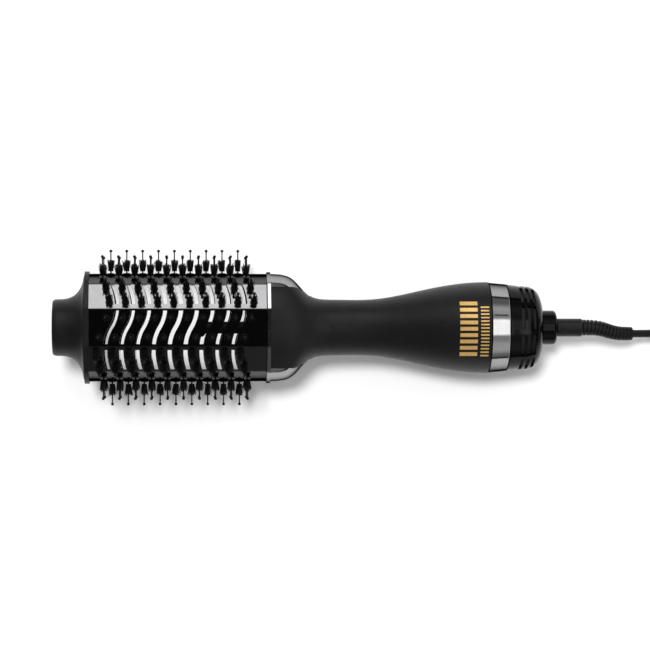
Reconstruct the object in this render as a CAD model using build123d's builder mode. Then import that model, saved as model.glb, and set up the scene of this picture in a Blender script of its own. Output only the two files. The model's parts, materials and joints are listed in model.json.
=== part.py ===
from build123d import *
import os
from math import asin, atan, cos, degrees, exp, pi, radians, sin, sqrt, tan

# Hot air brush, lying on its bristles and the heel of its handle.
# Every piece of the brush is drawn about the brush's own axis: X runs from the tip to the cord,
# Y across the wide way of the head and Z out of its front face. The location called rest then lays
# the brush down. The cord and its plug are drawn where they lie. Lengths are in millimetres.

# Head: a faceted oval tube
head_y = 37.6
head_z = 24.5
facet_y = 13.0
side_y = 30.0
side_z = 17.5
barrel_start = 25.5
barrel_end = 148.3
barrel_wall = 1.6
rim_length = 3.2
rim_proud = 1.6

# Vents
vent_pitch = 11.06
vent_count = 9
vent_width = 2.9
vent_x = 41.0
vent_lean = 4.0
# Reach in Y of the upper, middle and lower vent of each run
vent_bands = [(16.4, 29.7), (-11.7, 12.0), (-29.4, -15.5)]

# Bristle units
pin_height = 16.8
pin_radius = 0.45
ball_radius = 1.05
boss_radius = 2.5
boss_proud = 0.35
flange_radius = 3.0
flange_inner = 1.2
flange_outer = 0.35
hole_radius = boss_radius + 0.1
hole_bevel = 0.15
tuft_height = 10.0
tuft_root_radius = 1.7
tuft_top_radius = 2.6
tuft_bore_radius = 0.85
row_count = 10
edge_row_count = 9
# Rows of one face, as (Y of the row, X of its first unit)
face_rows = [
    (6.7, 37.6),
    (-6.7, 32.8),
    (17.3, 39.9),
    (-17.3, 30.8),
    (27.0, 37.5),
    (-27.0, 33.3),
    (35.0, 34.9),
    (-35.0, 35.6),
]
# Rows along the two edges, as (side, X of the first unit)
edge_rows = [(1, 40.3), (-1, 41.4)]

# Shoulder: oval beside the head, round at the neck, easing from one to the other
shoulder_start = 151.3
shoulder_end = 192.0
shoulder_y = 38.0
shoulder_z = 24.9
neck_radius = 19.5
shoulder_sections = 13
tongue_y = 28.1
tongue_end = 179.4

# Handle, as (X, radius)
handle_outline = [
    (shoulder_end, 19.6),
    (208.0, 19.4),
    (224.0, 19.9),
    (243.2, 22.9),
    (265.6, 27.8),
    (287.8, 31.2),
    (303.8, 32.0),
]
shell_wall = 2.2
heel_x = handle_outline[-1][0]
heel_radius = handle_outline[-1][1]

# Selector ring
ring_start = 304.1
ring_end = 317.1
ring_front_radius = 31.6
ring_rear_radius = 30.5
ring_bore = 27.5
index_angle = -16.0
index_x = 310.6
index_width = 1.1
lug_angle = -95.0
selector_travel = 90.0

# Rear
frame_radius = 27.2
cap_start = 317.4
cap_end = 342.0
cap_wall = 2.0
slot_rings = [326.3, 330.4, 334.5]
slot_ring_width = 2.2
bridge_count = 9
bridge_width = 3.4
swivel_radius = 12.0
swivel_end = 352.4
spool_neck = 6.2

# Fan
duct_radius = 20.8
duct_wall = 1.2
motor_radius = 12.2
shaft_radius = 1.0

# Lead: strain relief, cord, coil and plug
cord_d = 5.4
cord_r = cord_d / 2
ribs = 14
tie_thickness = 0.8
coil_x = 335.0
coil_y = -36.6
coil_inner = 21.0
coil_wide = 5
coil_layers = 2
top_turn = coil_inner + 3 * cord_d
plug_x = 374.0
plug_y = 42.0
plug_length = 52.0
plug_width = 36.0
plug_height = 28.0

# The brush rests on the last pins of its back and on the heel of its handle
last_pin_x = face_rows[0][1] + (row_count - 1) * vent_pitch
pin_reach = head_z + pin_height
tilt = atan((pin_reach - heel_radius) / (heel_x - last_pin_x))
lift = pin_reach * cos(tilt) + last_pin_x * sin(tilt)
tip_flat_radius = 18.4
swivel_flat_radius = 9.5
first_x = -tip_flat_radius * sin(tilt)
last_x = swivel_end * cos(tilt) + swivel_flat_radius * sin(tilt)
middle = (first_x + last_x) / 2
rest = Location((-middle, 0, lift), (0, degrees(tilt), 0))
print("tilt in degrees", degrees(tilt), "shift", -middle, "lift", lift)

os.makedirs("parts", exist_ok=True)


def save(piece, label, place=rest):
    """Put a piece in its place and write it."""
    laid = piece.part.moved(place)
    laid.label = label
    export_step(laid, f"parts/{label}.step")


def oval(grow=0.0):
    """Faceted oval section of the head, grown outwards by grow."""
    with BuildSketch() as section:
        with BuildLine():
            for side in (1, -1):
                Line((-facet_y, side * head_z), (facet_y, side * head_z))
                Line((side * facet_y, head_z), (side * side_y, side_z))
                Line((side * facet_y, -head_z), (side * side_y, -side_z))
                ThreePointArc((side * side_y, side_z), (side * head_y, 0), (side * side_y, -side_z))
        make_face()
        fillet(section.vertices(), radius=3)
        if grow:
            offset(amount=grow)
    return section.sketch


def oval_slab(start, end, grow, hole=None):
    """Length of the head's section, with a hole of the same shape if one is given."""
    with BuildPart() as slab:
        with BuildSketch(Plane.YZ.offset(start)):
            add(oval(grow))
            if hole is not None:
                add(oval(hole), mode=Mode.SUBTRACT)
        extrude(amount=end - start)
    return slab.part


def ellipse_loft(stations, grow=0.0):
    """Smooth solid through oval sections given as (X, half width, half depth)."""
    with BuildPart() as body:
        for x, half_y, half_z in stations:
            with BuildSketch(Plane.YZ.offset(x)):
                Ellipse(half_z + grow, half_y + grow, rotation=90)
        loft()
    return body.part


def ease(x, middle_x, steepness):
    """Share of the head's width that is left at x: one beside the head, nothing at the neck."""
    return 1 / (1 + exp(steepness * (x - middle_x)))


def shoulder_loft(grow=0.0):
    """Shoulder grown outwards by grow, at evenly spaced sections."""
    stations = []
    for n in range(shoulder_sections):
        x = shoulder_start + (shoulder_end - shoulder_start) * n / (shoulder_sections - 1)
        half_y = neck_radius + (shoulder_y - neck_radius) * ease(x, 172.5, 0.255)
        half_z = neck_radius + (shoulder_z - neck_radius) * ease(x, 176.0, 0.2)
        stations.append((x, half_y, half_z))
    end_radius = handle_outline[0][1]
    stations[-1] = (shoulder_end, end_radius, end_radius)
    return ellipse_loft(stations, grow)


def turned(points, inner=0.0):
    """Solid of revolution between the radius inner and a line of (X, radius) points."""
    with BuildPart() as body:
        with BuildSketch():
            with BuildLine():
                Polyline(*points)
                Polyline(points[-1], (points[-1][0], inner), (points[0][0], inner), points[0])
            make_face()
        revolve(axis=Axis.X)
    return body.part


def tube(start, end, outer, inner=0.0):
    """Round tube along the brush's axis."""
    with BuildPart() as body:
        with BuildSketch(Plane.YZ.offset(start)):
            Circle(outer)
            if inner:
                Circle(inner, mode=Mode.SUBTRACT)
        extrude(amount=end - start)
    return body.part


def grip(grow=0.0):
    """Round part of the handle, from the neck to the heel."""
    points = [(x, radius + grow) for x, radius in handle_outline]
    with BuildPart() as body:
        with BuildSketch():
            with BuildLine():
                Spline(*points, tangents=((1, 0), (1, 0.02)))
                Polyline(points[-1], (points[-1][0], 0), (points[0][0], 0), points[0])
            make_face()
        revolve(axis=Axis.X)
    return body.part


def surface_point(y):
    """Height of the head's surface at y, and the angle of its normal from Z, in degrees."""
    if abs(y) <= facet_y:
        return head_z, 0.0
    if abs(y) <= side_y:
        slope = (head_z - side_z) / (side_y - facet_y)
        height = head_z - (abs(y) - facet_y) * slope
        angle = degrees(atan(slope))
    else:
        arc_radius = ((head_y - side_y) ** 2 + side_z**2) / (2 * (head_y - side_y))
        centre_y = head_y - arc_radius
        height = sqrt(arc_radius**2 - (abs(y) - centre_y) ** 2)
        angle = degrees(asin((abs(y) - centre_y) / arc_radius))
    return height, angle if y > 0 else -angle


def unit_plane(x, y, face):
    """Plane on the head's surface with its Z outwards; face is 1 for the front, -1 for the back."""
    height, angle = surface_point(y)
    normal = (0, sin(radians(angle)), face * cos(radians(angle)))
    return Plane(origin=(x, y, face * height), x_dir=(1, 0, 0), z_dir=normal)


def bristle_rows():
    """Placings of every row of bristle units, as a list of planes for each row."""
    rows = []
    for face in (1, -1):
        for y, start in face_rows:
            rows.append([unit_plane(start + n * vent_pitch, y, face) for n in range(row_count)])
    for side, start in edge_rows:
        rows.append(
            [
                Plane(
                    origin=(start + n * vent_pitch, side * head_y, 0),
                    x_dir=(1, 0, 0),
                    z_dir=(0, side, 0),
                )
                for n in range(edge_row_count)
            ]
        )
    return rows


rows = bristle_rows()

# ---- Tip cap: round at its end, flaring into the oval rim that holds the barrel

tip_flare = [
    (0.0, tip_flat_radius, tip_flat_radius),
    (0.5, 19.0, 19.0),
    (1.9, 19.6, 19.6),
    (6.2, 19.8, 19.8),
    (12.6, 21.2, 20.3),
    (16.0, 23.4, 21.2),
    (18.6, 26.6, 22.3),
    (20.6, 31.0, 23.6),
    (22.3, 37.6, 25.2),
]
with BuildPart() as tip_cap:
    add(ellipse_loft(tip_flare))
    add(oval_slab(22.3, barrel_start, rim_proud))
    add(ellipse_loft(tip_flare[2:], -2.4), mode=Mode.SUBTRACT)
    add(oval_slab(22.2, barrel_start, -2.0), mode=Mode.SUBTRACT)
save(tip_cap, "tip_cap")

# ---- Tip carrier: the plug that joins the cap to the barrel

with BuildPart() as tip_carrier:
    add(oval_slab(22.6, barrel_start, -2.2))
    add(oval_slab(barrel_start, 27.4, -barrel_wall - 0.15))
    with BuildSketch(Plane.YZ.offset(27.4)):
        Ellipse(26, 15)
    extrude(amount=-2.8, mode=Mode.SUBTRACT)
save(tip_carrier, "tip_carrier")

# ---- Barrel with its vents and the holes of the bristle units

with BuildPart() as barrel:
    add(oval_slab(barrel_start, barrel_end, 0, -barrel_wall))
    for row in rows:
        with Locations(*[plane.location for plane in row]):
            Cylinder(radius=hole_radius, height=8, mode=Mode.SUBTRACT)
    with Locations(*[plane.location for row in rows for plane in row]):
        Cone(
            bottom_radius=hole_radius,
            top_radius=hole_radius + 2 * hole_bevel,
            height=2 * hole_bevel,
            mode=Mode.SUBTRACT,
        )
    with BuildSketch():
        with BuildLine(mode=Mode.PRIVATE) as upper:
            ThreePointArc(
                (vent_x + vent_lean, 13.6),
                (vent_x + vent_lean - 0.9, 22.8),
                (vent_x - 0.4, 31.6),
            )
        with BuildLine(mode=Mode.PRIVATE) as centre:
            ThreePointArc((vent_x + vent_lean, 14.0), (vent_x + 3.0, 6.9), (vent_x, 0))
            ThreePointArc((vent_x, 0), (vent_x - 3.0, -6.9), (vent_x - vent_lean, -14.0))
        with BuildLine(mode=Mode.PRIVATE) as lower:
            ThreePointArc(
                (vent_x - vent_lean, -13.6),
                (vent_x - vent_lean + 0.5, -22.8),
                (vent_x - 1.2, -31.3),
            )
        for line, (low, high) in zip((upper, centre, lower), vent_bands):
            with BuildSketch(mode=Mode.PRIVATE) as slot:
                SlotArc(line.wire(), vent_width)
                with Locations((vent_x, (low + high) / 2)):
                    Rectangle(40, high - low, mode=Mode.INTERSECT)
            with Locations(*[(n * vent_pitch, 0) for n in range(vent_count)]):
                add(slot.sketch)
    extrude(amount=head_z + 5, both=True, mode=Mode.SUBTRACT)
save(barrel, "barrel")

# ---- Bristle units: a socket, a ball-tipped pin and, round the pin, a flared tuft

with BuildPart() as unit:
    with BuildSketch(Plane.XZ):
        with BuildLine():
            ball_z = pin_height - ball_radius
            neck_z = ball_z - sqrt(ball_radius**2 - pin_radius**2)
            inside = -barrel_wall
            Polyline(
                (0, inside - flange_inner),
                (flange_radius, inside - flange_inner),
                (flange_radius, inside - flange_outer),
                (boss_radius, inside - flange_outer),
                (boss_radius, boss_proud),
                (0.6, boss_proud),
                (pin_radius, 2.0),
                (pin_radius, neck_z),
            )
            ThreePointArc((pin_radius, neck_z), (ball_radius, ball_z), (0, pin_height))
            Line((0, pin_height), (0, inside - flange_inner))
        make_face()
    revolve(axis=Axis.Z)

with BuildPart() as tuft:
    with BuildSketch(Plane.XZ):
        with BuildLine():
            Polyline(
                (tuft_bore_radius, boss_proud + 0.1),
                (tuft_root_radius, boss_proud + 0.1),
                (tuft_top_radius, tuft_height),
                (tuft_bore_radius, tuft_height),
                close=True,
            )
        make_face()
    revolve(axis=Axis.Z)

for number, row in enumerate(rows, start=1):
    with BuildPart() as bristle_row:
        with Locations(*[plane.location for plane in row]):
            add(unit.part)
    save(bristle_row, f"bristle_row_{number:02d}")

tuft_groups = {
    "tufts_middle": [0, 1, 2, 3, 8, 9, 10, 11],
    "tufts_outer": [4, 5, 6, 7, 12, 13, 14, 15],
    "tufts_edge": [16, 17],
}
for label, members in tuft_groups.items():
    with BuildPart() as tuft_group:
        with Locations(*[plane.location for member in members for plane in rows[member]]):
            add(tuft.part)
    save(tuft_group, label)

# ---- Trim ring and the carrier that joins the barrel to the shoulder

with BuildPart() as trim_ring:
    add(oval_slab(barrel_end + 0.1, 151.2, 1.3, -barrel_wall))
    fillet(trim_ring.faces().sort_by(Axis.X)[0].outer_wire().edges(), radius=0.8)
save(trim_ring, "trim_ring")

with BuildPart() as root_carrier:
    add(oval_slab(143.4, 151.2, -barrel_wall - 0.15))
    with BuildSketch(Plane.YZ.offset(151.2)):
        Ellipse(34.8, 21.7)
    extrude(amount=4)
    with BuildSketch(Plane.YZ.offset(143.4)):
        Ellipse(32.4, 19.4)
    extrude(amount=11.8, mode=Mode.SUBTRACT)
save(root_carrier, "root_carrier")

# ---- Shoulder collar: two bright cheeks joined by a thinner wall under the handle's tongues

with BuildPart() as cheeks:
    with BuildSketch() as cheek_plan:
        with BuildLine():
            Line((150, tongue_y), (167, tongue_y))
            ThreePointArc((167, tongue_y), (174.6, 25.0), (tongue_end, 20.8))
            Polyline((tongue_end, 20.8), (tongue_end, 45), (150, 45), (150, tongue_y))
        make_face()
        mirror(about=Plane.XZ)
    extrude(amount=40, both=True)

with BuildPart() as tongue_pocket:
    with BuildSketch():
        with Locations((172, 0)):
            Rectangle(44, 90)
        add(offset(cheek_plan.sketch, amount=-0.2, mode=Mode.PRIVATE), mode=Mode.SUBTRACT)
    extrude(amount=40, both=True)
    add(shoulder_loft(-1.6), mode=Mode.SUBTRACT)

with BuildPart() as collar:
    add(shoulder_loft(-0.4))
    add(shoulder_loft(-2.8), mode=Mode.SUBTRACT)
    add(tongue_pocket.part, mode=Mode.SUBTRACT)
    add(tube(189.0, 200.0, 40), mode=Mode.SUBTRACT)
save(collar, "collar")

# ---- Handle shells: front and back halves, screwed together along the middle

screw_places = [(213.0, 11.2), (213.0, -11.2), (284.0, 24.4), (284.0, -24.4)]
with BuildPart() as handle_outer:
    add(shoulder_loft())
    add(grip())

with BuildPart() as bosses:
    with Locations(*[(x, y, 0) for x, y in screw_places]):
        Cylinder(radius=2.7, height=80)
    add(handle_outer.part, mode=Mode.INTERSECT)

with BuildPart() as shells:
    add(handle_outer.part)
    add(cheeks.part, mode=Mode.SUBTRACT)
    add(shoulder_loft(-1.4), mode=Mode.SUBTRACT)
    add(grip(-shell_wall), mode=Mode.SUBTRACT)
    add(tube(190.0, 196.0, 19.45 - shell_wall), mode=Mode.SUBTRACT)
    add(bosses.part)

with BuildPart() as handle_shell_front:
    add(shells.part)
    split(bisect_by=Plane.XY.offset(0.03), keep=Keep.TOP)
    with Locations(*[(x, y, 0) for x, y in screw_places]):
        Cylinder(radius=1.1, height=14, mode=Mode.SUBTRACT)
save(handle_shell_front, "handle_shell_front")

with BuildPart() as handle_shell_back:
    add(shells.part)
    split(bisect_by=Plane.XY.offset(-0.03), keep=Keep.BOTTOM)
    with Locations(*[(x, y, 0) for x, y in screw_places]):
        Cylinder(radius=1.6, height=80, mode=Mode.SUBTRACT)
    with Locations(*[(x, y, -5) for x, y in screw_places]):
        Cylinder(
            radius=2.3,
            height=40,
            align=(Align.CENTER, Align.CENTER, Align.MAX),
            mode=Mode.SUBTRACT,
        )
save(handle_shell_back, "handle_shell_back")

with BuildPart() as shell_screws:
    with Locations(*[(x, y, -5) for x, y in screw_places]):
        Cylinder(radius=2.1, height=2, align=(Align.CENTER, Align.CENTER, Align.MAX))
        Cylinder(radius=1.1, height=11, align=(Align.CENTER, Align.CENTER, Align.MIN))
    with Locations(*[(x, y, -7) for x, y in screw_places]):
        Box(0.6, 3, 1.6, mode=Mode.SUBTRACT)
        Box(3, 0.6, 1.6, mode=Mode.SUBTRACT)
save(shell_screws, "shell_screws")

# ---- Heater: mica boards with a wound wire in a steel sleeve, and its two safety devices

board_start = 138.0
board_end = 196.0
board_width = 22.0
wire_start = 142.0
wire_pitch = 5.4
wire_turns = 10
wire_loop_radius = 12.9
wire_radius = 0.6
wire_rail = 0.8

with BuildPart() as heater_sleeve:
    add(tube(134.0, 200.0, 15.8, 15.2))
save(heater_sleeve, "heater_sleeve")

with BuildPart() as heater_boards:
    with Locations(((board_start + board_end) / 2, 0, 0)):
        Box(board_end - board_start, board_width, 1)
        Box(board_end - board_start, 1, board_width)
save(heater_boards, "heater_boards")

with BuildPart() as heater_wire:
    loop_planes = [Plane.YZ.offset(wire_start + n * wire_pitch) for n in range(wire_turns)]
    with Locations(*[plane.location for plane in loop_planes]):
        Torus(wire_loop_radius, wire_radius)
    rail_length = (wire_turns - 1) * wire_pitch
    for angle in (45, 225):
        rail_y = wire_loop_radius * cos(radians(angle))
        rail_z = wire_loop_radius * sin(radians(angle))
        with Locations((wire_start + rail_length / 2, rail_y, rail_z)):
            Box(rail_length, wire_rail, wire_rail)
save(heater_wire, "heater_wire")

with BuildPart() as air_deflector:
    add(turned([(99.6, 4.0), (100.6, 6.4), (104.6, 6.4), (106.4, 4.2), (board_start, 4.2)]))
save(air_deflector, "air_deflector")

with BuildPart() as thermostat:
    add(tube(board_end, board_end + 3.6, 6.5))
    add(tube(board_end + 3.6, board_end + 4.8, 4.0))
save(thermostat, "thermostat")

with BuildPart() as thermal_fuse:
    add(turned([(200.8, 0.5), (203.0, 0.5), (203.6, 1.7), (213.6, 1.7), (214.2, 0.5), (218.0, 0.5)]))
save(thermal_fuse, "thermal_fuse")

# ---- Fan: duct with its stator vanes, motor, shaft and impeller

vane_count = 5
vane_x = 266.0
vane_length = 16.0
blade_count = 7

with BuildPart() as fan_duct:
    add(tube(256.0, 298.4, duct_radius, duct_radius - duct_wall))
    for n in range(vane_count):
        with Locations(Plane.XY.rotated(((n + 0.5) * 360 / vane_count, 0, 0)).location):
            with Locations((vane_x, 0, (motor_radius + duct_radius) / 2)):
                Box(vane_length, 1.2, duct_radius - motor_radius - 0.7)
    add(tube(258.0, 274.0, motor_radius + 1.3, motor_radius + 0.1))
save(fan_duct, "fan_duct")

with BuildPart() as motor:
    add(
        turned(
            [
                (248.6, 3.4),
                (252.0, 3.4),
                (252.0, motor_radius - 0.8),
                (252.8, motor_radius),
                (281.2, motor_radius),
                (282.0, motor_radius - 0.8),
                (282.0, 3.4),
                (284.6, 3.4),
            ]
        )
    )
    add(tube(248.0, 286.0, shaft_radius + 0.05), mode=Mode.SUBTRACT)
save(motor, "motor")

with BuildPart() as motor_shaft:
    add(tube(249.0, 297.0, shaft_radius))
save(motor_shaft, "motor_shaft")

with BuildPart() as impeller:
    add(turned([(286.0, 6.0), (294.5, 6.0), (297.0, 4.0)]))
    for n in range(blade_count):
        with Locations(Plane.XY.rotated((n * 360 / blade_count, 0, 0)).location):
            with Locations(Location((291.2, 0, 12.0), (0, 0, 35))):
                Box(11.0, 1.0, 13.4)
    add(tube(285.0, 298.0, shaft_radius), mode=Mode.SUBTRACT)
save(impeller, "impeller")

with BuildPart() as rectifier_board:
    add(tube(243.8, 245.4, 13.0, 4.2))
    for n in range(4):
        with Locations(Plane.XY.rotated((n * 90 + 45, 0, 0)).location):
            with Locations((242.4, 0, 8.6)):
                Box(2.8, 5.2, 3.0)
save(rectifier_board, "rectifier_board")

# ---- Rear frame: joins the shells, the fan duct and the intake cap, with a window for the lug

with BuildPart() as rear_frame:
    add(tube(298.5, 301.5, 29.5, duct_radius - 3.0))
    add(tube(301.5, 322.0, frame_radius, frame_radius - 2.0))
    with BuildSketch(Plane.XZ.rotated((lug_angle - 10, 0, 0))):
        with Locations((310.5, frame_radius - 1)):
            Rectangle(8.0, 4.0)
    revolve(axis=Axis.X, revolution_arc=selector_travel + 20, mode=Mode.SUBTRACT)
save(rear_frame, "rear_frame")

# ---- Selector: the bright ring that turns, its inner wiper, and the fixed contact board

with BuildPart() as selector_ring:
    add(turned([(ring_start, 31.0), (304.7, ring_front_radius), (316.5, ring_rear_radius),
                (ring_end, 30.0)], ring_bore))
    with Locations(Plane.XY.rotated((index_angle, 0, 0)).location):
        with Locations((index_x, 0, ring_front_radius)):
            Box(9.6, index_width, 2.0, mode=Mode.SUBTRACT)
    with Locations(Plane.XY.rotated((lug_angle, 0, 0)).location):
        with Locations((310.5, 0, 25.0)):
            Box(5.0, 5.0, 6.8)
save(selector_ring, "selector_ring")

with BuildPart() as index_mark:
    with Locations(Plane.XY.rotated((index_angle, 0, 0)).location):
        with Locations((index_x, 0, 30.83)):
            Box(9.4, index_width - 0.1, 0.4)
save(index_mark, "index_mark")

with BuildPart() as switch_wiper:
    with Locations(Plane.XY.rotated((lug_angle, 0, 0)).location):
        with Locations((310.5, 0, 20.9)):
            Box(7.0, 6.0, 1.4)
        with Locations((310.5, 0, 20.0)):
            Box(2.0, 5.0, 0.6)
save(switch_wiper, "switch_wiper")

with BuildPart() as switch_base:
    with BuildSketch(Plane.XZ.rotated((lug_angle - 20, 0, 0))):
        with Locations((310.5, 18.4)):
            Rectangle(11.0, 1.6)
        with Locations((304.0, 21.4)):
            Rectangle(2.0, 7.6)
    revolve(axis=Axis.X, revolution_arc=selector_travel + 40)
save(switch_base, "switch_base")

# ---- Intake cap with three rings of slots, its filter, and the housing of the lead's swivel

cap_points = [
    (cap_start, 30.3),
    (325.2, 29.4),
    (331.0, 29.0),
    (334.6, 28.2),
    (337.4, 26.4),
    (339.6, 23.6),
    (341.2, 19.4),
    (cap_end, 14.2),
]
cap_inner = [(x - 0.4, radius - cap_wall) for x, radius in cap_points[:-1]]


def cap_body(points, floor):
    """Domed solid under a smooth line of (X, radius) points, from floor outwards."""
    with BuildPart() as body:
        with BuildSketch():
            with BuildLine():
                Spline(*points, tangents=((1, -0.08), (0.05, -1)))
                Polyline(points[-1], (points[-1][0], floor), (points[0][0], floor), points[0])
            make_face()
        revolve(axis=Axis.X)
    return body.part


with BuildPart() as slot_cutter:
    for x in slot_rings:
        add(tube(x - slot_ring_width / 2, x + slot_ring_width / 2, 32.0, 22.0))
    for n in range(bridge_count):
        angle = -34 + n * 360 / bridge_count
        with Locations(Plane.XY.rotated((angle, 0, 0)).location):
            with Locations((330.0, 0, 28.0)):
                Box(20, bridge_width, 14, mode=Mode.SUBTRACT)

with BuildPart() as intake_cap:
    add(cap_body(cap_points, 0))
    add(cap_body(cap_inner, 0), mode=Mode.SUBTRACT)
    add(tube(cap_start, 321.6, 29.0, frame_radius + 0.05))
    add(slot_cutter.part, mode=Mode.SUBTRACT)
    add(tube(330.0, 345.0, swivel_radius + 0.05), mode=Mode.SUBTRACT)
save(intake_cap, "intake_cap")

filter_outer = [(x, radius - 0.5) for x, radius in cap_inner[1:]]
filter_inner = [(x - 0.6, radius - 0.7) for x, radius in filter_outer]
with BuildPart() as intake_filter:
    add(cap_body(filter_outer, 15.2))
    add(cap_body(filter_inner, 14.0), mode=Mode.SUBTRACT)
save(intake_filter, "intake_filter")

with BuildPart() as swivel_housing:
    add(turned([(337.2, 14.6), (339.2, 14.6), (339.2, swivel_radius), (swivel_end, swivel_radius)]))
    fillet(swivel_housing.faces().sort_by(Axis.X)[-1].edges(), radius=2.5)
    add(tube(337.0, 347.0, 9.8), mode=Mode.SUBTRACT)
    add(tube(346.0, swivel_end + 1, spool_neck + 0.3), mode=Mode.SUBTRACT)
save(swivel_housing, "swivel_housing")

with BuildPart() as swivel_retainer:
    add(tube(337.4, 339.4, 9.75, 5.0))
save(swivel_retainer, "swivel_retainer")

with BuildPart() as swivel_spool:
    add(turned([(339.8, 9.4), (346.6, 9.4), (346.6, spool_neck), (swivel_end + 0.3, spool_neck)], 3.4))
save(swivel_spool, "swivel_spool")

# ---- Strain relief: a smooth stub and a ribbed, bent tail

relief_start = swivel_end + 0.3
stub_end = 371.5
relief_points = [(370.5, 0, 0), (382.0, 0, 0), (396.0, -4.2, -2.0), (407.0, -4.3, -4.4)]


def rounded_path(points):
    """Straight runs joined by arcs, each as large as its two runs allow, and the radii used."""
    corners = [Vector(*point) for point in points]
    radii = []
    for before, corner, after in zip(corners, corners[1:], corners[2:]):
        turn = radians((corner - before).get_angle(after - corner))
        shorter = min((corner - before).length, (after - corner).length)
        radii.append(0.45 * shorter / tan(turn / 2))
    with BuildLine() as line:
        FilletPolyline(*points, radius=radii)
    return line.wire(), radii


relief_path, relief_radii = rounded_path(relief_points)
print("strain relief radii", [round(radius) for radius in relief_radii])
with BuildPart() as strain_relief:
    add(turned([(relief_start, 5.6), (relief_start + 0.7, 6.3), (370.3, 6.3), (stub_end, 5.4)]))
    with BuildSketch(Plane(origin=relief_path @ 0, z_dir=relief_path % 0)):
        Circle(4.1)
    sweep(path=relief_path)
    for n in range(ribs):
        place = 0.06 + 0.91 * n / (ribs - 1)
        with BuildSketch(Plane(origin=relief_path @ place, z_dir=relief_path % place)):
            Circle(5.6 - 0.9 * n / (ribs - 1))
        extrude(amount=0.8, both=True)
save(strain_relief, "strain_relief")

# ---- Cord: from the strain relief down to the surface and into the coil, and out to the plug

where_drawn = Location()
coil_bottom = tie_thickness + cord_r
coil_top = coil_bottom + coil_layers * cord_d
coil_outer = coil_inner + (coil_wide - 1) * cord_d
gland_start = 352.0

exit_point = (rest * Location(relief_points[-1])).position
print("strain relief ends at", exit_point)
lead_in = [
    (230.5, -4.3, 21.79),
    (247.0, -4.45, 17.2),
    (264.0, -3.0, 11.3),
    (281.0, 0.2, 5.8),
    (298.0, 3.6, 3.1),
    (316.5, 5.6, 3.0),
    (coil_x, coil_y + coil_outer, coil_bottom),
]
lead_out = [
    (coil_x - top_turn, coil_y, coil_top),
    (297.8, -17.0, 14.3),
    (299.0, 3.0, 14.3),
    (304.5, 21.5, 12.8),
    (316.5, 36.0, 12.0),
    (334.0, plug_y, 14.0),
    (gland_start - 0.05, plug_y, 14.0),
]


def cord_tube(points, radius):
    """Round tube along a route, and the route's length and radii."""
    path, radii = rounded_path(points)
    with BuildPart() as body:
        with BuildSketch(Plane(origin=path @ 0, z_dir=path % 0)):
            Circle(radius)
        sweep(path=path)
    return body, path.length, radii


cord, in_length, in_radii = cord_tube(lead_in, cord_r)
cord_to_plug, out_length, out_radii = cord_tube(lead_out, cord_r)
section_area = pi * cord_r**2
print("cord radii", [round(radius) for radius in in_radii + out_radii])
cord_fullness = cord.part.volume / (section_area * in_length)
plug_cord_fullness = cord_to_plug.part.volume / (section_area * out_length)
print("cord volumes over section times length", cord_fullness, plug_cord_fullness)
save(cord, "cord", where_drawn)
save(cord_to_plug, "cord_to_plug", where_drawn)

layer_turns = coil_wide * 2 * pi * (coil_inner + coil_outer) / 2
coil_length = coil_layers * layer_turns + 0.75 * 2 * pi * top_turn
print("cord length", in_length + coil_length + out_length)

coil_axis = Axis((coil_x, coil_y, 0), (0, 0, 1))
in_groove, _, _ = cord_tube(lead_in, cord_r + 0.05)
with BuildPart() as cord_coil:
    with BuildSketch(Plane(origin=(coil_x, coil_y, 0), z_dir=(0, 0, 1))):
        Circle(coil_outer + cord_r)
        Circle(coil_inner - cord_r, mode=Mode.SUBTRACT)
    extrude(amount=tie_thickness + coil_layers * cord_d - 0.1)
    with BuildSketch(Plane(origin=(coil_x, coil_y, 0), z_dir=(0, 0, 1))):
        Circle(coil_outer + cord_d)
    extrude(amount=tie_thickness, mode=Mode.SUBTRACT)
    fillet(cord_coil.edges().filter_by(GeomType.CIRCLE), radius=cord_r * 0.9)
    with BuildSketch(Plane(origin=(coil_x, coil_y, 0), x_dir=(-1, 0, 0), z_dir=(0, 1, 0))):
        with Locations((top_turn, coil_top)):
            Rectangle(cord_d, cord_d + 0.4)
    revolve(axis=coil_axis, revolution_arc=255)
    add(in_groove.part, mode=Mode.SUBTRACT)
save(cord_coil, "cord_coil", where_drawn)

# Strap round the coil
tie_angle = radians(-60)
tie_inner = [
    (coil_inner - cord_r - 0.8, tie_thickness - 0.05),
    (coil_inner - cord_r - 0.8, coil_bottom + cord_d + cord_r + 0.1),
    (top_turn - cord_r - 0.6, coil_top + cord_r + 0.3),
    (top_turn + cord_r + 0.2, coil_top + cord_r + 0.3),
    (coil_outer + cord_r + 0.1, coil_bottom + cord_d + cord_r + 0.1),
    (coil_outer + cord_r + 0.1, tie_thickness - 0.05),
]
tie_plane = Plane(
    origin=(coil_x, coil_y, 0),
    x_dir=(cos(tie_angle), sin(tie_angle), 0),
    z_dir=(sin(tie_angle), -cos(tie_angle), 0),
)
with BuildPart() as coil_tie:
    with BuildSketch(tie_plane) as tie_section:
        with BuildLine():
            Polyline(*tie_inner, close=True)
        make_face()
        offset(amount=tie_thickness - 0.05)
        with BuildLine():
            Polyline(*tie_inner, close=True)
        make_face(mode=Mode.SUBTRACT)
    extrude(amount=4.5, both=True)
save(coil_tie, "coil_tie", where_drawn)

# ---- Plug: moulded body with its gland, two blades, and the test and reset buttons

plug_z = plug_height / 2
button_places = [("test_button", plug_x + 18.0), ("reset_button", plug_x + 32.0)]
button_pocket = (9.0, 6.0)
button_size = (8.4, 5.4)
blade_pitch = 12.7
blade_length = 17.5
blade_root = 4.0

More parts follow.
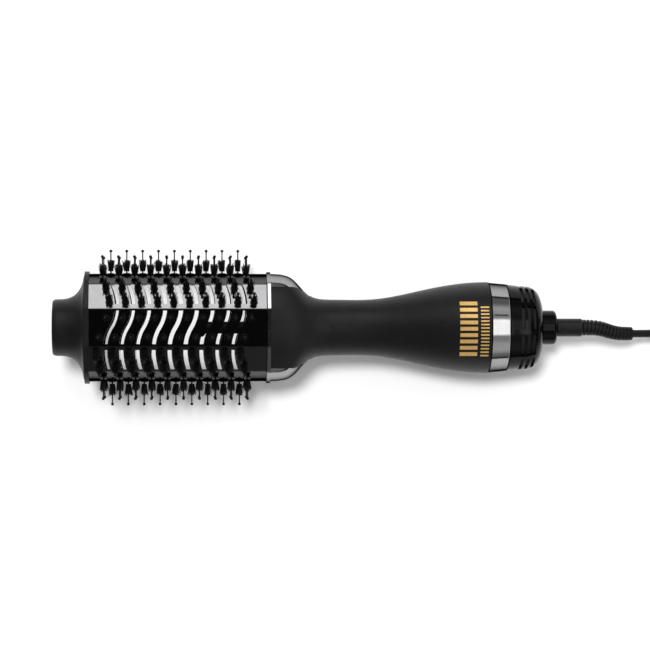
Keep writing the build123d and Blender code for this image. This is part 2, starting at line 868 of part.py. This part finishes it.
with BuildPart() as plug_body:
    with BuildSketch(Plane.YZ.offset(plug_x)):
        with Locations((plug_y, plug_z)):
            RectangleRounded(plug_width, plug_height, 5)
    extrude(amount=plug_length)
    fillet(plug_body.faces().sort_by(Axis.X)[0].edges(), radius=4.5)
    fillet(plug_body.faces().sort_by(Axis.X)[-1].edges(), radius=1.5)
    with BuildSketch(Plane.YZ.offset(gland_start)):
        with Locations((plug_y, plug_z)):
            Circle(4.4)
    extrude(amount=plug_x + 2 - gland_start, taper=-5)
    with Locations(*[(gland_start + 2.4 + n * 3.6, plug_y, plug_z) for n in range(5)]):
        Cylinder(radius=6.4, height=1.9, rotation=(0, 90, 0))
    for _, x in button_places:
        with Locations((x, plug_y, plug_height)):
            Box(*button_pocket, 11.0, mode=Mode.SUBTRACT)
    for side in (1, -1):
        with Locations((plug_x + plug_length, plug_y + side * blade_pitch / 2, plug_z)):
            Box(2 * blade_root, 1.5, 6.35 if side > 0 else 7.9, mode=Mode.SUBTRACT)
save(plug_body, "plug_body", where_drawn)

with BuildPart() as plug_blades:
    for side in (1, -1):
        blade_start = plug_x + plug_length - blade_root
        with Locations((blade_start, plug_y + side * blade_pitch / 2, plug_z)):
            Box(
                blade_root + blade_length,
                1.5,
                6.35 if side > 0 else 7.9,
                align=(Align.MIN, Align.CENTER, Align.CENTER),
            )
    fillet(plug_blades.edges().filter_by(Axis.Y).group_by(Axis.X)[-1], radius=1.6)
    with Locations(*[
        (plug_x + plug_length + 12.0, plug_y + side * blade_pitch / 2, plug_z) for side in (1, -1)
    ]):
        Cylinder(radius=1.6, height=4, rotation=(90, 0, 0), mode=Mode.SUBTRACT)
save(plug_blades, "plug_blades", where_drawn)

for label, x in button_places:
    with BuildPart() as button:
        with Locations((x, plug_y, plug_height + 1.6)):
            Box(*button_size, 5.0, align=(Align.CENTER, Align.CENTER, Align.MAX))
        fillet(button.edges().group_by(Axis.Z)[-1], radius=0.6)
    save(button, label, where_drawn)
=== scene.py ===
import json
import math

import bmesh
import bpy
import numpy as np
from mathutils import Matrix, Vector
from mathutils.bvhtree import BVHTree


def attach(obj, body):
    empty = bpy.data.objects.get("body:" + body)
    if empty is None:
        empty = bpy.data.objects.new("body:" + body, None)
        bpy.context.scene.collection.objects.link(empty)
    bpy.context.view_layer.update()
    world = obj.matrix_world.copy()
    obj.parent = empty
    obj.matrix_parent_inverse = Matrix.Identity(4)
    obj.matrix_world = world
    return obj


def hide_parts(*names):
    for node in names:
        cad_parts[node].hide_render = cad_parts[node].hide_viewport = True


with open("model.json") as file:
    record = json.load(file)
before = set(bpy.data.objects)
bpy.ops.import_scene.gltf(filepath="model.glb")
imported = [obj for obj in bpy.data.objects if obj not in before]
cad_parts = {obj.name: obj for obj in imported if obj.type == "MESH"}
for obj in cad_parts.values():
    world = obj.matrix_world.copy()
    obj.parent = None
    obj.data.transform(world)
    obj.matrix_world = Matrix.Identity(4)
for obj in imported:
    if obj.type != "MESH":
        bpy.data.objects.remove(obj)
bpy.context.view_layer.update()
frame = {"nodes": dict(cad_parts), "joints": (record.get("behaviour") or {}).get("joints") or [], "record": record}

MM = 0.001
NODES = frame["nodes"]
RECORD = frame["record"]

# The brush's own frame: X from the tip to the cord, Z out of the front face
TIP = Vector(next(m for m in RECORD["mounts"] if m["name"] == "tip_face")["pos_m"])
AXIS = Vector(next(j for j in frame["joints"] if j["name"] == "lead_swivel")["axis"]).normalized()
ACROSS = Vector((0, 1, 0))
OUT = AXIS.cross(ACROSS)


def on_brush(x, y, z):
    """Point of the brush's own frame, given in millimetres, in the scene."""
    return TIP + (AXIS * x + ACROSS * y + OUT * z) * MM


# ---- Camera: straight above the brush

CAMERA_HEIGHT = 1.84
VIEW_WIDTH = 0.455
AXIS_HEIGHT = 0.040
SENSOR = 36.0
LOOKS_AT = Vector((0.0139, 0.0018, 0.0))


def make_camera():
    camera = bpy.data.objects.new("camera", bpy.data.cameras.new("camera"))
    bpy.context.scene.collection.objects.link(camera)
    camera.location = LOOKS_AT + Vector((0, 0, CAMERA_HEIGHT))
    camera.rotation_euler = (0, 0, 0)
    camera.data.sensor_width = SENSOR
    camera.data.lens = SENSOR * (CAMERA_HEIGHT - AXIS_HEIGHT) / VIEW_WIDTH
    camera.data.clip_end = 20
    bpy.context.scene.camera = camera


make_camera()

# ---- Cord: one smooth line from the strain relief, through the coil, to the plug

CORD_D = 0.0054
COIL_CENTRE = Vector((0.335, -0.0366, 0))
COIL_INNER = 0.0210
COIL_WIDE = 5
COIL_BOTTOM = 0.0035
POINTS_A_TURN = 18
# Share of a turn that keeps its radius, before the cord steps over to the next one
HOLD = 5 / 6
LAST_HOLD = 11 / 12
STEP_UP = 4 / 6
# Cord's stations from the brush to the coil, and from the coil to the plug
LEAD_IN = [
    (0.2305, -0.0043, 0.02179),
    (0.2470, -0.00445, 0.0172),
    (0.2640, -0.0030, 0.0113),
    (0.2810, 0.0002, 0.0058),
    (0.2980, 0.0036, 0.0031),
    (0.3165, 0.0056, 0.0030),
]
LEAD_OUT = [
    (0.2978, -0.0170, 0.0143),
    (0.2990, 0.0030, 0.0143),
    (0.3045, 0.0215, 0.0128),
    (0.3165, 0.0360, 0.0120),
    (0.3340, 0.0420, 0.0140),
    (0.35195, 0.0420, 0.0140),
]


def coil_stations():
    """(turns so far, radius, height) where the cord's lay changes, evened out in between."""
    low, middle, top = (COIL_BOTTOM + n * CORD_D for n in range(3))
    outer = COIL_INNER + (COIL_WIDE - 1) * CORD_D
    stations = []
    for turn in range(COIL_WIDE - 1):
        radius = outer - turn * CORD_D
        stations += [(turn, radius, low), (turn + HOLD, radius, low)]
    last = COIL_WIDE - 1
    stations += [(last, COIL_INNER, low), (last + STEP_UP, COIL_INNER, low)]
    stations += [(last + HOLD, COIL_INNER, middle)]
    for turn in range(COIL_WIDE):
        radius = COIL_INNER + turn * CORD_D
        hold = HOLD if turn < last else LAST_HOLD
        stations += [(COIL_WIDE + turn, radius, middle), (COIL_WIDE + turn + hold, radius, middle)]
    end = 2 * COIL_WIDE
    top_radius = COIL_INNER + 3 * CORD_D
    stations += [(end + 1 / 12, outer, top), (end + 1 / 4, top_radius, top)]
    stations += [(end + 3 / 4, top_radius, top)]
    return stations


def coil_points():
    """The coil's turns, clockwise from the point where the cord arrives."""
    stations = coil_stations()
    turns = [station[0] for station in stations]
    total = round(stations[-1][0] * POINTS_A_TURN)
    outside = 1 / math.cos(math.pi / POINTS_A_TURN)
    points = []
    for step in range(total + 1):
        turn = step / POINTS_A_TURN
        radius = float(np.interp(turn, turns, [station[1] for station in stations]))
        height = float(np.interp(turn, turns, [station[2] for station in stations]))
        angle = math.pi / 2 - turn * 2 * math.pi
        flat = Vector((math.cos(angle), math.sin(angle), 0)) * radius * outside
        points.append(COIL_CENTRE + flat + Vector((0, 0, height)))
    return points


def make_cord():
    curve = bpy.data.curves.new("cord_lead", "CURVE")
    curve.dimensions = "3D"
    # The tube's radius is each point's own, times this, so the curve's box stays the tube's
    curve.bevel_depth = 1.0
    curve.bevel_resolution = 5
    curve.resolution_u = 5
    curve.use_fill_caps = True
    spline = curve.splines.new("NURBS")
    route = [Vector(point) for point in LEAD_IN] + coil_points()
    route += [Vector(point) for point in LEAD_OUT]
    spline.points.add(len(route) - 1)
    for point, place in zip(spline.points, route):
        point.co = (*place, 1)
        point.radius = CORD_D / 2
    spline.order_u = 3
    spline.use_endpoint_u = True
    cord = bpy.data.objects.new("cord_lead", curve)
    bpy.context.scene.collection.objects.link(cord)
    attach(cord, "lead")
    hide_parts("cord", "cord_coil", "cord_to_plug")
    return cord


cord = make_cord()

# ---- Materials


def shader(name):
    """New material with its Principled shader, and the object's own coordinates."""
    material = bpy.data.materials.new(name)
    material.use_nodes = True
    tree = material.node_tree
    principled = next(n for n in tree.nodes if n.type == "BSDF_PRINCIPLED")
    place = tree.nodes.new("ShaderNodeTexCoord").outputs["Object"]
    return material, tree, principled, place


def noise(tree, place, size, detail=3.0, stretch=(1, 1, 1)):
    """Noise whose features are about size millimetres across."""
    mapping = tree.nodes.new("ShaderNodeMapping")
    mapping.inputs["Scale"].default_value = stretch
    tree.links.new(place, mapping.inputs["Vector"])
    texture = tree.nodes.new("ShaderNodeTexNoise")
    texture.inputs["Scale"].default_value = 1 / (size * MM)
    texture.inputs["Detail"].default_value = detail
    tree.links.new(mapping.outputs["Vector"], texture.inputs["Vector"])
    return texture.outputs["Fac"]


def ranged(tree, value, low, high):
    """value, from about 0.3 to 0.7, brought to the range from low to high."""
    node = tree.nodes.new("ShaderNodeMapRange")
    node.inputs["From Min"].default_value = 0.3
    node.inputs["From Max"].default_value = 0.7
    node.inputs["To Min"].default_value = low
    node.inputs["To Max"].default_value = high
    tree.links.new(value, node.inputs["Value"])
    return node.outputs["Result"]


def two_tone(tree, value, dark, light):
    """Colour between dark and light, by value."""
    node = tree.nodes.new("ShaderNodeMix")
    node.data_type = "RGBA"
    node.inputs["A"].default_value = (*dark, 1)
    node.inputs["B"].default_value = (*light, 1)
    tree.links.new(value, node.inputs["Factor"])
    return node.outputs["Result"]


def bumped(tree, principled, height, distance):
    """Raise the surface by height, distance millimetres at most."""
    node = tree.nodes.new("ShaderNodeBump")
    node.inputs["Distance"].default_value = distance * MM
    node.inputs["Strength"].default_value = 1.0
    tree.links.new(height, node.inputs["Height"])
    tree.links.new(node.outputs["Normal"], principled.inputs["Normal"])


def shade(colour, factor):
    return tuple(min(1.0, part * factor) for part in colour)


def finish(name, colour, roughness, metal=0.0, tone=0.15, tone_size=6.0, rough_range=0.05,
           rough_size=2.0, grain=0.0, grain_size=0.3, stretch=(1, 1, 1), ior=1.5, edge=1.0):
    """Moulded, plated or metal finish: its colour and roughness drift a little, over a fine grain.

    Sizes are in millimetres. edge below 1 dims what a metal mirrors at a glancing angle.
    """
    material, tree, principled, place = shader(name)
    drift = ranged(tree, noise(tree, place, tone_size, 4), 0, 1)
    tones = two_tone(tree, drift, shade(colour, 1 - tone), shade(colour, 1 + tone))
    tree.links.new(tones, principled.inputs["Base Color"])
    rough = ranged(tree, noise(tree, place, rough_size, 3, stretch),
                   roughness - rough_range, roughness + rough_range)
    tree.links.new(rough, principled.inputs["Roughness"])
    principled.inputs["Metallic"].default_value = metal
    principled.inputs["IOR"].default_value = ior
    principled.inputs["Specular Tint"].default_value = (edge, edge, edge, 1)
    if grain:
        bumped(tree, principled, noise(tree, place, grain_size, 2, stretch), grain)
    return material


# Wave texture's scale for one thread a metre
THREAD_SCALE = 0.31


def woven(name, colour, pitch):
    """Woven or meshed finish: two crossing sets of threads, pitch millimetres apart, with painted shade between
    the threads and a painted highlight on their crowns.
    """
    material, tree, principled, place = shader(name)
    threads = []
    for direction in ("X", "Y"):
        wave = tree.nodes.new("ShaderNodeTexWave")
        wave.bands_direction = direction
        wave.inputs["Scale"].default_value = THREAD_SCALE / (pitch * MM)
        wave.inputs["Distortion"].default_value = 0.4
        tree.links.new(place, wave.inputs["Vector"])
        threads.append(wave.outputs["Fac"])
    crossing = tree.nodes.new("ShaderNodeMath")
    crossing.operation = "MAXIMUM"
    for number, thread in enumerate(threads):
        tree.links.new(thread, crossing.inputs[number])
    height = crossing.outputs["Value"]
    # The colour follows the weave's height: painted shade where the weave dips between threads, painted highlight
    # on the thread crowns.
    tones = two_tone(tree, height, shade(colour, 0.3), shade(colour, 1.5))
    tree.links.new(tones, principled.inputs["Base Color"])
    principled.inputs["Roughness"].default_value = 0.7
    bumped(tree, principled, height, pitch * 0.2)
    return material


# Brushed or drawn along X, and the finish of each material slot of the record
ALONG = (0.05, 1, 1)
MATERIALS = {
    "soft_touch": finish("soft_touch_black", (0.0062, 0.0062, 0.0064), 0.42, tone=0.12, ior=1.30,
                         grain=0.012, grain_size=0.22),
    "gloss_black": finish("gloss_black", (0.0012, 0.0012, 0.0013), 0.09, tone=0.2, ior=1.22,
                          rough_range=0.03, grain=0.004, grain_size=2.5),
    "barrel_finish": finish("dark_mirror", (0.10, 0.10, 0.102), 0.06, metal=1.0, tone=0.05,
                            rough_range=0.015, rough_size=0.5, stretch=ALONG, grain=0.0002,
                            grain_size=0.6, edge=0.0),
    "bright_trim": finish("bright_plate", (0.34, 0.34, 0.343), 0.09, metal=1.0, tone=0.03,
                          rough_range=0.03, grain=0.002, grain_size=1.2, edge=0.0),
    "bristle_nylon": finish("bristle_nylon", (0.004, 0.004, 0.004), 0.36, ior=1.3, tone=0.3,
                            tone_size=1.0, grain=0.01, grain_size=0.2),
    "inner_plastic": finish("inner_plastic", (0.016, 0.016, 0.017), 0.5, tone=0.2, grain=0.02),
    "steel": finish("plain_steel", (0.42, 0.42, 0.43), 0.34, metal=1.0, tone=0.1, stretch=ALONG,
                    rough_size=0.4, grain=0.006, grain_size=0.3),
    "mica": finish("mica_sheet", (0.46, 0.38, 0.25), 0.45, tone=0.35, tone_size=1.6, grain=0.05,
                   grain_size=0.8),
    "heating_alloy": finish("heating_wire", (0.30, 0.27, 0.25), 0.4, metal=1.0, tone=0.2,
                            tone_size=1.5, grain=0.01),
    "aluminium_can": finish("aluminium_can", (0.6, 0.6, 0.61), 0.32, metal=1.0, tone=0.08,
                            grain=0.01),
    "contact_brass": finish("contact_brass", (0.62, 0.46, 0.22), 0.27, metal=1.0, tone=0.1,
                            stretch=ALONG, grain=0.004),
    "circuit_board": finish("circuit_board", (0.03, 0.16, 0.06), 0.4, tone=0.25, tone_size=2.0,
                            grain=0.03, grain_size=0.7),
    "filter_mesh": woven("filter_mesh", (0.012, 0.012, 0.012), 0.9),
    "cord_jacket": finish("cord_jacket", (0.006, 0.006, 0.0062), 0.40, ior=1.3, tone=0.2,
                          tone_size=8.0, rough_range=0.06, grain=0.015, grain_size=0.5),
    "strap": woven("strap", (0.014, 0.014, 0.014), 0.7),
    "test_colour": finish("test_yellow", (0.62, 0.44, 0.04), 0.35, tone=0.1, grain=0.01),
    "reset_colour": finish("reset_red", (0.42, 0.02, 0.016), 0.35, tone=0.1, grain=0.01),
}


def dress(piece, slot):
    piece.data.materials.clear()
    piece.data.materials.append(MATERIALS[slot])


for subpart in RECORD["subparts"]:
    node = NODES[subpart["node"]]
    for place in range(len(node.material_slots)):
        node.material_slots[place].material = MATERIALS[subpart["material_slot"]]
dress(cord, "cord_jacket")

# ---- Tufts: fine bristles round every ball-tipped pin

HAIRS = 64
HAIR_WIDTH = 0.52
HAIR_SIDES = 3
HAIR_RINGS = 4
ROOT_SPREAD = 1.65
TOP_SPREAD = 2.60
GOLDEN_ANGLE = 2.39996
WELD = 0.00002
random = np.random.default_rng(7)


def islands(node):
    """Corner points of each separate solid of a node."""
    mesh = bmesh.new()
    mesh.from_mesh(node.data)
    bmesh.ops.remove_doubles(mesh, verts=mesh.verts, dist=WELD)
    left = set(mesh.verts)
    groups = []
    for start in list(mesh.verts):
        if start not in left:
            continue
        left.discard(start)
        group, edge = [], [start]
        while edge:
            vertex = edge.pop()
            group.append(vertex.co.copy())
            for link in vertex.link_edges:
                other = link.other_vert(vertex)
                if other in left:
                    left.discard(other)
                    edge.append(other)
        groups.append(group)
    mesh.free()
    return groups


def from_axis(point):
    """Distance of a point from the brush's axis."""
    rel = point - TIP
    return (rel - AXIS * rel.dot(AXIS)).length


def tuft_line(points):
    """Root and top of a tuft's own axis, from the corner points of its solid."""
    ordered = sorted(points, key=from_axis)
    half = len(ordered) // 2
    root = sum(ordered[:half], Vector()) / half
    top = sum(ordered[half:], Vector()) / (len(ordered) - half)
    return root, top


def add_hairs(root, top, verts, faces):
    """Bristles of one tuft, flaring from root to top."""
    up = (top - root).normalized()
    side = up.cross(AXIS).normalized()
    front = side.cross(up)
    height = (top - root).length
    for number in range(HAIRS):
        angle = number * GOLDEN_ANGLE + random.uniform(-0.3, 0.3)
        share = math.sqrt((number + 0.6) / HAIRS)
        way = side * math.cos(angle) + front * math.sin(angle)
        turn = side * -math.sin(angle) + front * math.cos(angle)
        low = way * share * ROOT_SPREAD * MM
        high = way * share * TOP_SPREAD * MM * random.uniform(0.70, 1.28)
        high += turn * random.uniform(-0.5, 0.5) * MM
        tall = height * random.uniform(0.84, 1.16)
        bow = random.uniform(-0.15, 0.35)
        first = len(verts)
        for ring in range(HAIR_RINGS):
            share_up = ring / (HAIR_RINGS - 1)
            blend = share_up + bow * share_up * (1 - share_up)
            centre = root + up * tall * share_up + low.lerp(high, blend)
            width = HAIR_WIDTH / 2 * MM * (1 - 0.3 * share_up)
            for corner in range(HAIR_SIDES):
                around = corner * 2 * math.pi / HAIR_SIDES + number
                verts.append(centre + (side * math.cos(around) + front * math.sin(around)) * width)
        for ring in range(HAIR_RINGS - 1):
            for corner in range(HAIR_SIDES):
                a = first + ring * HAIR_SIDES + corner
                b = first + ring * HAIR_SIDES + (corner + 1) % HAIR_SIDES
                faces.append((a, b, b + HAIR_SIDES, a + HAIR_SIDES))
        end = first + (HAIR_RINGS - 1) * HAIR_SIDES
        faces.append(tuple(range(end, end + HAIR_SIDES)))
        faces.append(tuple(range(first + HAIR_SIDES - 1, first - 1, -1)))


def new_piece(name, verts, faces, smooth=True):
    mesh = bpy.data.meshes.new(name)
    mesh.from_pydata([tuple(v) for v in verts], [], faces)
    mesh.validate()
    for polygon in mesh.polygons:
        polygon.use_smooth = smooth
    piece = bpy.data.objects.new(name, mesh)
    bpy.context.scene.collection.objects.link(piece)
    return piece


def make_tufts(node_name):
    verts, faces = [], []
    for group in islands(NODES[node_name]):
        root, top = tuft_line(group)
        add_hairs(root, top, verts, faces)
    piece = new_piece(node_name + "_hair", verts, faces)
    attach(piece, "root")
    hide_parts(node_name)
    dress(piece, "bristle_nylon")


for name in ("tufts_middle", "tufts_outer", "tufts_edge"):
    make_tufts(name)

# ---- Gold ornament printed on the handle: a row of plain bars beside a row of finer ones

MATERIALS["gold_print"] = finish("gold_print", (0.66, 0.41, 0.13), 0.40, metal=0.45, tone=0.08,
                                 tone_size=3.0, rough_range=0.05, grain=0.003, grain_size=0.4)
PRINT_RISE = 0.06
PRINT_DEEP = 0.05
PRINT_COLUMNS = 9
PRINT_LINES = 4
ABOVE_HANDLE = 60


def surface_finder(node):
    mesh = node.data
    corners = [v.co for v in mesh.vertices]
    return BVHTree.FromPolygons(corners, [tuple(p.vertices) for p in mesh.polygons])


def printed_patch(finder, x0, x1, y0, y1, verts, faces):
    """Thin raised patch that follows the handle's front between two X and two Y values."""
    columns, rows = PRINT_COLUMNS, PRINT_LINES
    first = len(verts)
    for rise in (PRINT_RISE, PRINT_RISE - PRINT_DEEP):
        for column in range(columns):
            for row in range(rows):
                x = x0 + (x1 - x0) * column / (columns - 1)
                y = y0 + (y1 - y0) * row / (rows - 1)
                hit, normal, _, _ = finder.ray_cast(on_brush(x, y, ABOVE_HANDLE), -OUT)
                if normal.dot(OUT) < 0:
                    normal = -normal
                verts.append(hit + normal * rise * MM)
    layer = columns * rows
    for column in range(columns - 1):
        for row in range(rows - 1):
            a = first + column * rows + row
            quad = (a, a + rows, a + rows + 1, a + 1)
            faces.append(quad)
            faces.append(tuple(v + layer for v in reversed(quad)))
    rim = [first + row for row in range(rows)]
    rim += [first + column * rows + rows - 1 for column in range(1, columns)]
    rim += [first + (columns - 1) * rows + row for row in range(rows - 2, -1, -1)]
    rim += [first + column * rows for column in range(columns - 2, 0, -1)]
    for here, there in zip(rim, rim[1:] + rim[:1]):
        faces.append((here, there, there + layer, here + layer))


# Rows of the print, as (first and last X, first and last Y, bars, share of the pitch that is gold)
PRINT_ROWS = [
    (281.9, 294.0, -19.6, 18.0, 9, 0.58),
    (296.2, 302.0, -19.9, 14.6, 15, 0.42),
]


def make_print():
    finder = surface_finder(NODES["handle_shell_front"])
    verts, faces = [], []
    for x0, x1, y0, y1, bars, gold in PRINT_ROWS:
        pitch = (y1 - y0) / (bars - 1 + gold)
        for number in range(bars):
            y = y0 + number * pitch
            printed_patch(finder, x0, x1, y, y + pitch * gold, verts, faces)
    piece = new_piece("gold_bars", verts, faces, smooth=False)
    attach(piece, "root")
    dress(piece, "gold_print")


make_print()

# ---- Floor and soft studio light


FLOOR_HALF = 4


def make_floor():
    corners = [(x * FLOOR_HALF, y * FLOOR_HALF, 0) for x, y in ((-1, -1), (1, -1), (1, 1), (-1, 1))]
    floor = new_piece("floor", corners, [(0, 1, 2, 3)])
    material, tree, principled, place = shader("floor_paper")
    tones = two_tone(tree, ranged(tree, noise(tree, place, 300, 2), 0, 1), (0.86, 0.86, 0.86),
                     (0.90, 0.90, 0.90))
    tree.links.new(tones, principled.inputs["Base Color"])
    principled.inputs["Roughness"].default_value = 0.9
    principled.inputs["Specular IOR Level"].default_value = 0.1
    floor.data.materials.append(material)


def studio_panel(tree, angles, across_x, across_y, edge):
    """Share of a soft-edged panel overhead, between two angles each way; all in degrees."""
    share = None
    for angle, (low, high) in zip(angles, (across_x, across_y)):
        for start, end in ((low - edge, low + edge), (high + edge, high - edge)):
            node = tree.nodes.new("ShaderNodeMapRange")
            node.interpolation_type = "SMOOTHSTEP"
            node.inputs["From Min"].default_value = math.radians(start)
            node.inputs["From Max"].default_value = math.radians(end)
            tree.links.new(angle, node.inputs["Value"])
            if share is None:
                share = node.outputs["Result"]
            else:
                share = combined(tree, "MULTIPLY", share, node.outputs["Result"])
    return share


def combined(tree, operation, first, second):
    """Result of a sum over two values, each a node's output or a number."""
    node = tree.nodes.new("ShaderNodeMath")
    node.operation = operation
    for number, value in enumerate((first, second)):
        if isinstance(value, (int, float)):
            node.inputs[number].default_value = value
        else:
            tree.links.new(value, node.inputs[number])
    return node.outputs["Value"]


# Panels overhead, as (angles across X, angles across Y, soft edge, brightness over the dome's),
# with the angles and the edge in degrees
DOME = 0.02
PANELS = [
    ((11, 24), (-20, 22), 4, 2.80),
    ((-4, 10), (31, 60), 5, 5.20),
    ((-70, 14), (16, 82), 7, 0.50),
    ((17, 70), (16, 60), 9, 0.55),
    ((17, 70), (-70, -16), 9, 0.50),
    ((10, 70), (40, 130), 9, 0.22),
    ((10, 70), (-130, -40), 9, 0.26),
    ((-80, 14), (-84, -20), 8, 0.09),
    ((-80, 10), (-100, -66), 8, 0.25),
]
KEY_LIGHT = 2.35
KEY_WIDTH = 13
KEY_FROM = (-0.13, 0.23, 1.0)
FILL_LIGHT = 0.34
FILL_WIDTH = 5
# Low lamp: its place along the brush in millimetres, its height, length, width and power
UNDER_X = 86
UNDER_HEIGHT = 0.010
UNDER_LONG = 0.104
UNDER_WIDE = 0.054
UNDER_POWER = 0.019


def sun(name, direction, strength, width):
    """Distant lamp that lights from a direction, and isn't itself seen in glossy surfaces."""
    lamp = bpy.data.objects.new(name, bpy.data.lights.new(name, "SUN"))
    bpy.context.scene.collection.objects.link(lamp)
    lamp.data.energy = strength
    lamp.data.angle = math.radians(width)
    lamp.rotation_euler = Vector(direction).to_track_quat("Z", "Y").to_euler()
    lamp.visible_glossy = False


def under_light():
    """Low lamp under the head: the floor shows pale through the vents, as in the studio."""
    lamp = bpy.data.objects.new("under_head", bpy.data.lights.new("under_head", "AREA"))
    bpy.context.scene.collection.objects.link(lamp)
    lamp.data.shape = "RECTANGLE"
    lamp.data.size, lamp.data.size_y = UNDER_LONG, UNDER_WIDE
    lamp.data.energy = UNDER_POWER
    lamp.location = on_brush(UNDER_X, 0, 0)
    lamp.location.z = UNDER_HEIGHT
    lamp.visible_glossy = False
    lamp.visible_camera = False


def make_light():
    world = bpy.data.worlds.new("studio")
    bpy.context.scene.world = world
    world.use_nodes = True
    tree = world.node_tree
    split = tree.nodes.new("ShaderNodeSeparateXYZ")
    tree.links.new(tree.nodes.new("ShaderNodeTexCoord").outputs["Generated"], split.inputs["Vector"])
    angles = [combined(tree, "ARCTAN2", split.outputs[axis], split.outputs["Z"]) for axis in "XY"]
    level = DOME
    for across_x, across_y, edge, brightness in PANELS:
        share = studio_panel(tree, angles, across_x, across_y, edge)
        level = combined(tree, "ADD", level, combined(tree, "MULTIPLY", share, brightness))
    tree.links.new(level, tree.nodes["Background"].inputs["Strength"])
    tree.nodes["Background"].inputs["Color"].default_value = (1, 1, 1, 1)

    sun("key", KEY_FROM, KEY_LIGHT, KEY_WIDTH)
    sun("fill", (0, 0, 1), FILL_LIGHT, FILL_WIDTH)
    under_light()


make_floor()
make_light()
bpy.context.scene.view_settings.view_transform = "Standard"
